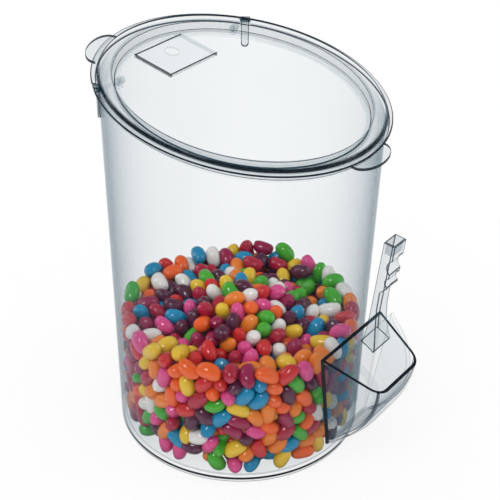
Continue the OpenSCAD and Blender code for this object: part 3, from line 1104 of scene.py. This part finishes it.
@dataclass
class ScoopPocket:
    """Open pocket with a curved front, with the ribs and the cap that hold it on the rail."""

    tray: Tray = field(default_factory=Tray)
    levels: int = 44
    level_power: float = 1.6
    side_steps: int = 12
    lows: tuple[float, float] = (30.2, 34.6)
    strip: float = 3.2
    dark_foot: float = 32.0
    rib_half: float = 18.3
    rib_low: float = 46.0
    rib_high: float = 104.0
    rib_depth: float = 2.5
    rib_bore: float = 12.3
    cap: float = 4.0

    def build(self) -> None:
        """Makes the pocket."""
        form = Form()
        for inset, low in zip((0.0, self.tray.wall), self.lows):
            form.sheet(self._shell(inset, low))
        open_edges = [e for e in form.bm.edges if e.is_boundary]
        rim = [e for e in open_edges if e.verts[0].co.z > self.rib_low]
        foot = [e for e in open_edges if e.verts[0].co.z < self.rib_low]
        bmesh.ops.holes_fill(form.bm, edges=foot, sides=0)
        form.paint(self._tone)
        form.bridge(rim, 0.99)
        for part in self._ribs():
            form.join(part)
        form.piece("scoop_holder", "holder", "clear_holder", Finish.POCKET)

    def _shell(self, inset: float, low: float) -> list[list[Vector]]:
        """The closed rings of one shell, from the bottom to the sloping rim.

        Args:
            inset: distance from the outer shell.
            low: height of the lowest ring.

        Returns:
            The rings' points, each ring's last one equal to its first.
        """
        rings, top = [], self.tray.top
        for level in range(self.levels + 1):
            share = (level / self.levels) ** self.level_power
            points = self._ring(low + (top - low) * share, inset)
            for _ in range(3):
                heights = [low + (self.tray.rim(p.y) - low) * share for p in points]
                points = [self._ring(h, inset)[i] for i, h in enumerate(heights)]
            rings.append([*points, points[0]])
        return rings

    def _ring(self, z: float, inset: float) -> list[Vector]:
        """The pocket's outline at a height.

        Args:
            z: the height.
            inset: distance from the outer shell.

        Returns:
            Its points, once around.
        """
        tray, sides, fronts = self.tray, self.side_steps, self.tray.front_steps
        back = tray.back - inset
        front = min(max(tray.front + inset, tray.arc_y(z, tray.arc_r - inset)), back - 0.6)
        radius = min(max(tray.corner - inset, 3.0), (back - front) * 0.55) * 1.25
        rear_half, front_half = tray.half_at(back, z, inset), tray.half_at(front, z, inset)
        rear_r, rear_l = (Vector((side * rear_half, back, z)) for side in (1, -1))
        front_r, front_l = (Vector((side * front_half, front, z)) for side in (1, -1))
        right = bend_corner(rear_r, front_r, front_l, radius, tray.corner_steps)
        left = bend_corner(front_r, front_l, rear_l, radius, tray.corner_steps)
        strip_r, strip_l = (a.lerp(b, min(self.strip / max((b - a).length, 1e-6), 0.3))
                            for a, b in ((rear_r, right[0]), (rear_l, left[-1])))
        points = [rear_r, *on_line(strip_r, right[0], sides), *right[:-1]]
        points += [*on_line(right[-1], left[0], fronts), *left[:-1]]
        points += [*on_line(left[-1], strip_l, sides), strip_l]
        return points + on_line(rear_l, rear_r, fronts)

    def _tone(self, face: Face) -> float:
        """Shade of a face: dark at the -X rear edge, lighter at the bottom and down the front corners.

        Args:
            face: a face of the pocket.

        Returns:
            Its shade.
        """
        tray, middle = self.tray, face.calc_center_median()
        if abs(middle.x) > tray.half_at(tray.back, middle.z, 1.2) and middle.y > tray.back - self.strip:
            return LINE if middle.x < 0 else 0.15
        if middle.z < self.dark_foot:
            return 0.35
        across = abs(face.normal.x) / max(face.normal.xy.length, 1e-6)
        corner = 0.6 < across < 0.82 and abs(face.normal.z) < 0.97
        return 0.75 if corner and middle.y < tray.back - 4.0 else 0.0

    def _ribs(self) -> list[Form]:
        """Makes the two ribs and the cap.

        Returns:
            Their forms.
        """
        y, depth = self.tray.back + self.rib_depth / 2, self.rib_depth
        between = (self.rib_bore + self.rib_half) / 2
        rib = (self.rib_half - self.rib_bore, depth, self.rib_high - self.rib_low)
        blocks = [((side * between, y, (self.rib_low + self.rib_high) / 2), rib) for side in SIDES]
        blocks.append(((0, y, self.rib_high - self.cap / 2), (2 * self.rib_bore, depth, self.cap)))
        return [Form().block(size, Vector(middle), 0.3, 0.4) for middle, size in blocks]


@dataclass
class ScoopBowl:
    """Scoop bowl that opens towards the bin, with a domed roof and a front that nests in the pocket."""

    tray: Tray = field(default_factory=lambda: Tray(corner_steps=7, front_steps=14))
    gap: float = 1.3
    nest: float = 0.4
    wall: float = 2.0
    dome_r: float = 40.0
    dome_up: float = 10.0
    face_gap: float = 12.0
    rows: int = 64
    side_steps: int = 14
    climb: float = 0.2
    swing: float = math.radians(0.4)

    @property
    def roof(self) -> float:
        """Height of the dome's top."""
        return self.tray.top + self.dome_up

    @property
    def arc_r(self) -> float:
        """Radius of the front wall."""
        return self.tray.arc_r - self.tray.wall - self.nest

    @property
    def dome(self) -> Vector:
        """Centre of the dome's arc."""
        z = self.roof - self.dome_r
        return Vector((0, self.tray.arc_y(z, self.arc_r) + self.dome_r, z))

    @property
    def foot(self) -> Vector:
        """Where the handle starts, on the plane of symmetry."""
        face = self.tray.back - self.face_gap - self.tray.wall
        return Vector((0, face - self.wall, self.roof - self.wall))

    def face_y(self, z: float) -> float:
        """Place of the open face at a height."""
        return self.foot.y + self.wall + (self.foot.z - z) * math.tan(self.tray.lean)

    def dome_z(self, y: float) -> float:
        """Height of the dome's outside at a place from back to front."""
        return self.dome.z + math.sqrt(max(self.dome_r**2 - (y - self.dome.y) ** 2, 0.0))

    def build(self) -> None:
        """Makes the bowl."""
        form = Form()
        for inset in (0.0, self.wall):
            form.sheet(self._shell(inset))
        form.paint(lambda face: 0.06 if 0.2 <= abs(face.normal.x) <= 0.93 else 0.0)
        form.bridge([e for e in form.bm.edges if e.is_boundary], 0.22)
        bmesh.ops.remove_doubles(form.bm, verts=form.bm.verts, dist=1e-3)
        form.piece("scoop_bowl", "scoop", "clear_scoop", Finish.SCOOP)

    def _profile(self, inset: float) -> list[Vector]:
        """The front curve in the plane of symmetry, from the tip to the roof's edge.

        Args:
            inset: distance from the outer shell.

        Returns:
            Its points, evenly spaced.
        """
        fine: list[Vector] = []
        z = self.dome.z
        while self.tray.arc_y(z, self.arc_r - inset) < self.face_y(z):
            fine.insert(0, Vector((0, self.tray.arc_y(z, self.arc_r - inset), z)))
            z -= self.climb
        point, turn = fine[-1], math.pi
        while point.y <= self.face_y(point.z):
            across, up = math.cos(turn), math.sin(turn)
            point = self.dome + (self.dome_r - inset) * Vector((0, across, up))
            fine.append(point)
            turn -= self.swing
        fine.pop()
        lengths = np.cumsum([0.0] + [(b - a).length for a, b in zip(fine, fine[1:])])
        goals = lengths[-1] * np.arange(self.rows + 1) / self.rows
        across, up = ([point[axis] for point in fine] for axis in (1, 2))
        return [Vector((0, np.interp(goal, lengths, across), np.interp(goal, lengths, up))) for goal in goals]

    def _shell(self, inset: float) -> list[list[Vector]]:
        """One shell of the bowl.

        Args:
            inset: distance from the outer shell.

        Returns:
            Rows of points from the tip to the roof's edge.
        """
        tray, profile = self.tray, self._profile(inset)
        low, high, from_wall = profile[0].z, profile[-1].z, tray.wall + self.gap + inset
        rows = []
        for number, point in enumerate(profile):
            share = number / self.rows
            z = low + (high - low) * (share + 0.25 * math.sin(2 * math.pi * share) / math.pi)
            face = Vector((0, self.face_y(z), z))
            rear, front = (Vector((tray.half_at(p.y, p.z, from_wall), p.y, p.z)) for p in (face, point))
            rear_l, front_l = (Vector((-p.x, p.y, p.z)) for p in (rear, front))
            radius = max(min(tray.corner - 3.0, (point - face).length * 0.6), 0.01)
            right = bend_corner(rear, front, front_l, radius, tray.corner_steps)
            left = bend_corner(front, front_l, rear_l, radius, tray.corner_steps)
            rows.append([
                *on_line(rear, right[0], self.side_steps), *right[:-1],
                *on_line(right[-1], left[0], tray.front_steps), *left[:-1],
                *on_line(left[-1], rear_l, self.side_steps), rear_l,
            ])
        return rows


@dataclass
class ScoopHandle:
    """Leaning handle with a flared foot on the dome, two finger hollows and a socket in its end."""

    bowl: ScoopBowl = field(default_factory=ScoopBowl)
    width: float = 16.0
    length: float = 90.0
    grip: float = 9.8
    grip_part: float = 0.58
    shank: float = 5.0
    neck: float = 7.0
    neck_l: float = 16.0
    foot_l: float = 12.0
    foot_w: float = 24.0
    foot_t: float = 12.0
    rounding: float = 1.0
    socket_wall: float = 1.8
    socket: float = 10.0
    hollows: tuple[tuple[float, float, float], ...] = ((1.6, 57.5, 4.0), (3.8, 71.1, 7.0))
    hollow_steps: int = 12

    def build(self) -> None:
        """Makes the handle."""
        form = Form()
        side_view = [(-self.width / 2, -across, up) for across, up in self._side_view()]
        form.pull([form.outline(side_view)], (self.width, 0, 0))
        bmesh.ops.recalc_face_normals(form.bm, faces=form.bm.faces)
        form.soften(self.rounding, 0.85, angle=math.radians(50))
        self._sink_socket(form)
        form.warp(self._seat)
        form.piece("scoop_handle", "scoop", "clear_scoop", Finish.HANDLE)

    def _side_view(self) -> list[tuple[float, float]]:
        """The handle's side view, as thickness away from the bin and length.

        Returns:
            Its corners in order.
        """
        points = [(self.foot_t * step / 6, -self.foot_l) for step in range(7)]
        grip = self.length * self.grip_part
        points += [
            (self.foot_t, -self.foot_l / 3), (self.neck, self.neck_l), (self.shank + 0.4, self.length / 3),
            (self.shank, grip - 6), (self.shank + 1.4, grip - 4), (self.grip, grip),
        ]
        for out, middle, radius in self.hollows:
            swing = math.acos(out / radius)
            points += [(self.grip + out - radius * math.cos(a), middle + radius * math.sin(a))
                       for a in arc_turns(-swing, 2 * swing, self.hollow_steps)]
        points += [(self.grip, self.length), (0.0, self.length)]
        return points + [(0.0, self.length * step / 8) for step in range(7, -1, -1)]

    def _sink_socket(self, form: Form) -> None:
        """Sinks the socket into the handle's end.

        Args:
            form: the handle before it is flared.
        """
        end = max(form.bm.faces, key=lambda f: f.calc_center_median().z * (f.normal.z > 0.9))
        rim = bmesh.ops.inset_region(
            form.bm, faces=[end], thickness=self.socket_wall - self.rounding, use_even_offset=True,
        )
        for face in rim["faces"]:
            face[form.shade] = 0.8
        for floor in form.pull([end], (0, 0, -self.socket)):
            floor[form.shade] = 0.1
            for wall in (face for edge in floor.edges for face in edge.link_faces):
                wall[form.shade] = max(wall[form.shade], 0.12)
        bmesh.ops.delete(form.bm, geom=[f for f in (end,) if f.is_valid], context="FACES_ONLY")

    def _seat(self, point: Vector) -> Vector:
        """Widens the foot, leans the handle and keeps its foot on the dome's outside.

        Args:
            point: a point of the upright handle.

        Returns:
            Its place on the bowl.
        """
        share = min(max((self.neck_l - point.z) / (self.neck_l + self.foot_l / 3), 0.0), 1.0)
        wide = Vector((point.x * (1 + (self.foot_w / self.width - 1) * share), point.y, point.z))
        leant = Matrix.Rotation(self.bowl.tray.lean, 3, "X") @ wide + self.bowl.foot
        return Vector((leant.x, leant.y, max(leant.z, self.bowl.dome_z(leant.y) - 0.2)))


# ------------------------------------------------------------------ sweets, which are no part of the bin
@dataclass
class Sweets:
    """Sugar-coated sweets that lie in the bin as goods do. Sizes are millimetres."""

    mouth: Mouth = field(default_factory=Mouth)
    count: int = 850
    length: float = 20.0
    width: float = 13.0
    bend: float = 0.014
    fullness: float = 2.4
    floor: float = 5.0
    gap: float = 0.6
    core_r: float = 80.0
    core_low: float = 65.0
    core_dome: float = 43.0
    core_in: float = 8.0
    heaped: float = 0.3
    pour: float = 170.0
    heap_pour: float = 50.0
    steps: int = 360
    look_every: int = 6
    look_reach: float = 7.0
    fast_until: int = 220
    slow_until: int = 320
    fast_fall: float = 1.4
    slow_fall: float = 0.4
    part: float = 0.42
    crowded: float = 0.66
    seed: int = 11
    # painted shade: near-black colour of the hidden core, standing for the shade deep between the sweets
    core_shade_colour: tuple[float, float, float] = (0.06, 0.008, 0.012)
    colours: tuple[tuple[float, float, float], ...] = (
        (0.84, 0.11, 0.005), (0.78, 0.5, 0.018), (0.78, 0.75, 0.72), (0.7, 0.06, 0.24),
        (0.4, 0.004, 0.03), (0.055, 0.38, 0.014), (0.004, 0.24, 0.45), (0.09, 0.006, 0.035),
        (0.58, 0.014, 0.014), (0.8, 0.2, 0.01), (0.3, 0.004, 0.055),
    )

    def build(self) -> None:
        """Adds the sweets as one staged object, with a hidden core whose near-black colour is painted shade
        between them.
        """
        rng = np.random.default_rng(self.seed)
        form, sweet, colour_stops = Form(), self._sweet(), len(self.colours) + 1
        form.bm.faces.layers.float.new("flavour_and_core_shade")
        for start, end in self._settle(rng):
            tone = (int(rng.integers(len(self.colours))) + 0.5) / colour_stops
            sweet.attributes["flavour_and_core_shade"].data.foreach_set("value", [tone] * len(sweet.polygons))
            along = Vector(end - start).to_track_quat("X", "Z").to_matrix().to_4x4()
            roll = Matrix.Rotation(2 * math.pi * rng.random(), 4, "X")
            roll = roll @ Matrix.Scale(0.92 + 0.12 * rng.random(), 4)
            place = Matrix.Translation(Vector((start + end) / 2)) @ along @ roll
            sweet.transform(place)
            form.bm.from_mesh(sweet)
            sweet.transform(place.inverted())
        bpy.data.meshes.remove(sweet)
        inner_r = self.core_r - self.core_in
        core = bmesh.ops.create_uvsphere(form.bm, u_segments=48, v_segments=24, radius=inner_r)
        low = self.floor + 1
        for vert in core["verts"]:
            top = self._core_top(radius_of(vert.co)) - self.core_in
            vert.co.z = top if vert.co.z > 0 else low + (top - low) * (1 + vert.co.z / self.core_r)
        # painted shade: the core's faces take the last stop, the near-black core colour
        flavour_and_core_shade = form.bm.faces.layers.float["flavour_and_core_shade"]
        for face in {f for v in core["verts"] for f in v.link_faces}:
            face[flavour_and_core_shade] = (colour_stops - 0.5) / colour_stops
        form.stage("sweets", self._finish())

    def _sweet(self) -> bpy.types.Mesh:
        """One slightly bent sweet along X, with a flavour for each face.

        Returns:
            Its mesh.
        """
        bm = bmesh.new()
        bm.faces.layers.float.new("flavour_and_core_shade")
        bmesh.ops.create_uvsphere(bm, u_segments=12, v_segments=8, radius=1.0)
        for vert in bm.verts:
            full = max(1 - abs(vert.co.z) ** self.fullness, 0.0) ** (1 / self.fullness)
            across = vert.co.xy.normalized() * full * self.width / 2
            x = vert.co.z * self.length / 2
            vert.co = Vector((x, across.x, across.y + self.bend * x * x))
        mesh = bpy.data.meshes.new("sweet")
        bm.to_mesh(mesh)
        bm.free()
        return mesh

    def _settle(self, rng: np.random.Generator) -> np.ndarray:
        """Lets the sweets sink and push each other apart.

        Args:
            rng: source of the first places.

        Returns:
            Centres of each sweet's two ends, without the sweets that still press into an earlier one.
        """
        radius = self.width / 2 - self.gap / 2
        span = self.length - self.width
        reach = self.mouth.base_r - self.mouth.wall - 10.0
        heaped = int(self.count * self.heaped)
        turn = rng.random(self.count) * 2 * math.pi
        out = np.sqrt(self.core_r**2 + (reach**2 - self.core_r**2) * rng.random(self.count))
        out[:heaped] = reach * np.sqrt(rng.random(heaped))
        high = self.floor + 12 + self.pour * np.linspace(0, 1, self.count)
        high[:heaped] = self.core_low + self.core_dome + 14 + self.heap_pour * rng.random(heaped)
        middle = np.stack((out * np.cos(turn), out * np.sin(turn), high), 1)
        along = rng.normal(size=(self.count, 3))
        along /= np.linalg.norm(along, axis=1, keepdims=True)
        ends = np.stack((middle - along * span / 2, middle + along * span / 2), 1).reshape(-1, 3)
        for step in range(self.steps):
            if step % self.look_every == 0:
                pairs = self._near(ends, 2 * radius + self.look_reach)
            slow = self.slow_fall if step < self.slow_until else 0.0
            ends[:, 2] -= self.fast_fall if step < self.fast_until else slow
            self._push(ends, pairs, radius)
            self._hold(ends, radius, span)
        pair = ends.reshape(-1, 2, 3)
        middle = pair.mean(1)
        apart = np.linalg.norm(middle[:, None] - middle[None], axis=2) + self.width * np.tri(self.count).T
        return pair[apart.min(1) > self.crowded * self.width]

    @staticmethod
    def _near(ends: np.ndarray, reach: float) -> tuple[np.ndarray, np.ndarray]:
        """Finds the ends of different sweets that are near each other.

        Args:
            ends: the end centres.
            reach: distance within which two ends are near.

        Returns:
            Indices of the near pairs.
        """
        flat = ends.astype(np.float32)
        square = (flat * flat).sum(1)
        apart = square[:, None] + square[None] - 2 * flat @ flat.T
        first, second = np.nonzero(apart < reach * reach)
        keep = first // 2 < second // 2
        return first[keep], second[keep]

    def _push(self, ends: np.ndarray, pairs: tuple[np.ndarray, np.ndarray], radius: float) -> None:
        """Pushes overlapping ends apart.

        Args:
            ends: the end centres, changed in place.
            pairs: indices of near ends.
            radius: radius of an end.
        """
        a, b = pairs
        gap = ends[b] - ends[a]
        far = np.maximum(np.linalg.norm(gap, axis=1), 1e-6)
        move = gap * (np.maximum(2 * radius - far, 0) / far * self.part)[:, None]
        for axis in range(3):
            ahead, behind = (np.bincount(index, move[:, axis], len(ends)) for index in (b, a))
            ends[:, axis] += ahead - behind

    def _hold(self, ends: np.ndarray, radius: float, span: float) -> None:
        """Keeps the sweets' length, and keeps them in the bin and round the core.

        Args:
            ends: the end centres, changed in place.
            radius: radius of an end.
            span: distance between a sweet's ends.
        """
        pair = ends.reshape(-1, 2, 3)
        middle, along = pair.mean(1), pair[:, 1] - pair[:, 0]
        along *= (span / 2 / np.maximum(np.linalg.norm(along, axis=1), 1e-6))[:, None]
        pair[:, 0], pair[:, 1] = middle - along, middle + along
        ends[:, 2] = np.maximum(ends[:, 2], self.floor + radius + 0.3)
        far = np.maximum(np.linalg.norm(ends[:, :2], axis=1), 1e-6)
        wall = self.mouth.base_r - self.mouth.wall - radius + ends[:, 2] * self.mouth.draft
        ends[:, :2] *= np.minimum(1, wall / far)[:, None]
        far = np.minimum(far, wall)
        top = self._core_top(far)
        low = (ends[:, 2] < top) & (far < self.core_r)
        side = self.core_r - far < top - ends[:, 2]
        ends[:, :2] *= np.where(low & side, self.core_r / far, 1.0)[:, None]
        ends[:, 2] = np.where(low & ~side, top, ends[:, 2])

    def _core_top(self, far: np.ndarray | float) -> np.ndarray | float:
        """Height of the hidden core at a distance from the axis."""
        return self.core_low + self.core_dome * (1 - np.minimum(far / self.core_r, 1) ** 2)

    def _finish(self) -> bpy.types.Material:
        """Builds the sugar shell in its several colours, and the near-black painted shade of the hidden core.

        Returns:
            The material.
        """
        material = bpy.data.materials.new("sugar_shell_and_core_shade")
        book = NodeBook(material)
        flavour_and_core_shade = book.node("ShaderNodeAttribute", {"attribute_name": "flavour_and_core_shade"}).outputs["Fac"]
        # painted shade: the last stop is the hidden core's near-black colour
        colours = (*self.colours, self.core_shade_colour)
        stops = [(number / len(colours), colour) for number, colour in enumerate(colours)]
        ramp = book.node("ShaderNodeValToRGB", {"stops": stops}, {"Fac": flavour_and_core_shade})
        ramp.color_ramp.interpolation = "CONSTANT"
        book.show(book.node("ShaderNodeBsdfPrincipled", None, {
            "Base Color": ramp.outputs["Color"], "Roughness": 0.16 + book.object_noise(300.0) * 0.08,
            "Coat Weight": 0.5,
        }))
        return material


# ------------------------------------------------------------------ studio
@dataclass
class Studio:
    """Camera, floor and soft light round the bin. Sizes are metres."""

    place: Vector = field(default_factory=lambda: Vector((-0.6635, -0.49915, 0.67028)))
    down: float = math.radians(31.72)
    turn: float = math.radians(-53.52)
    roll: float = math.radians(1.16)
    lens: float = 87.4
    sensor: float = 36.0
    floor_r: float = 6.0
    keep: float = 0.76
    fade: float = 0.55
    side_light: float = 0.78
    glossy_light: float = 0.3
    aim: Vector = field(default_factory=lambda: Vector((0.0, 0.0, 0.15)))

    def build(self) -> None:
        """Adds the camera, the world, the floor and the lamps."""
        bpy.context.scene.view_settings.view_transform = "Standard"
        bpy.context.scene.cycles.transparent_max_bounces = 64
        self._camera()
        self._world()
        self._floor()
        for name, place, size, power in (
            ("key_softbox", (-1.1, -0.2, 1.5), (0.45, 0.45), 9.0),
            ("side_strip", (0.9, -1.3, 0.9), (0.35, 1.4), 4.0),
            ("rear_strip", (-0.5, 1.5, 1.0), (0.35, 1.4), 4.0),
        ):
            data = bpy.data.lights.new(name, "AREA")
            data.shape, data.size, data.size_y, data.energy = "RECTANGLE", *size, power
            lamp = bpy.data.objects.new(name, data)
            lamp.location = place
            lamp.rotation_euler = (self.aim - Vector(place)).to_track_quat("-Z", "Y").to_euler()
            bpy.context.scene.collection.objects.link(lamp)

    def _camera(self) -> None:
        """Sets the camera."""
        data = bpy.data.cameras.new("camera")
        data.lens, data.sensor_width = self.lens, self.sensor
        camera = bpy.data.objects.new("camera", data)
        level = math.cos(self.down)
        back = Vector((math.sin(self.turn) * level, -math.cos(self.turn) * level, math.sin(self.down)))
        right = Vector((math.cos(self.turn), math.sin(self.turn), 0.0))
        up = back.cross(right)
        sine, cosine = math.sin(self.roll), math.cos(self.roll)
        axes = (right * cosine + up * sine, up * cosine - right * sine, back)
        camera.matrix_world = Matrix.Translation(self.place) @ Matrix(axes).transposed().to_4x4()
        bpy.context.scene.collection.objects.link(camera)
        bpy.context.scene.camera = camera

    @staticmethod
    def _seen(path: Callable[[str], Value]) -> Value:
        """1 for rays that look straight out, 0 for rays that carry light."""
        return (path("Is Camera Ray") + path("Is Transmission Ray")).at_most(1.0)

    @staticmethod
    def _rays(book: NodeBook) -> Callable[[str], Value]:
        """Gives the outputs of a Light Path node by name."""
        node = book.node("ShaderNodeLightPath")
        return lambda name: book.value(node, name)

    def _world(self) -> None:
        """Adds a world that is white for rays that look out and darker for those that carry light."""
        world = bpy.data.worlds.new("white_room")
        book = NodeBook(world)
        path = self._rays(book)
        seen = self._seen(path)
        carried = self.side_light - path("Is Glossy Ray") * (self.side_light - self.glossy_light)
        strength = seen + (1.0 - seen) * carried
        back = book.node("ShaderNodeBackground", None, {"Color": WHITE, "Strength": strength})
        book.show(back, "ShaderNodeOutputWorld")
        bpy.context.scene.world = world

    def _floor(self) -> None:
        """Adds a pale round floor that keeps a faint shadow and fades to white with distance."""
        material = bpy.data.materials.new("pale_floor")
        book = NodeBook(material)
        matt = book.node("ShaderNodeBsdfDiffuse", None, {
            "Color": (0.9, 0.9, 0.9, 1.0), "Roughness": 0.5 + book.object_noise(40.0) * 0.1,
        })
        white = book.node("ShaderNodeEmission", None, {"Color": WHITE, "Strength": 1.0})
        place = book.node("ShaderNodeTexCoord").outputs["Object"]
        far = book.value(book.node("ShaderNodeVectorMath", {"operation": "LENGTH"}, {0: place}), "Value")
        share = self._seen(self._rays(book)) * (far * self.fade + self.keep).at_most(1.0)
        book.show(book.node("ShaderNodeMixShader", None, {0: share, 1: matt.outputs[0], 2: white.outputs[0]}))
        form = Form()
        bmesh.ops.create_circle(form.bm, cap_ends=True, segments=96, radius=self.floor_r / MM)
        form.stage("floor", material)


def dress_rail() -> None:
    """Gives the CAD rail its finish."""
    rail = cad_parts["holder_rail"]
    rail.data.materials.clear()
    rail.data.materials.append(Finish.POCKET.made())


def main() -> None:
    """Builds the dressed bin and its studio."""
    logging.basicConfig(level=logging.INFO, format="%(name)s: %(message)s")
    for piece in (
        BinBody(), LidRing(), HingeClip(1), HingeClip(-1), HingePins(), LidFlap(), CardHolder(),
        ScoopPocket(), ScoopBowl(), ScoopHandle(),
    ):
        piece.build()
    dress_rail()
    Sweets().build()
    Studio().build()


if __name__ == "__main__":
    main()
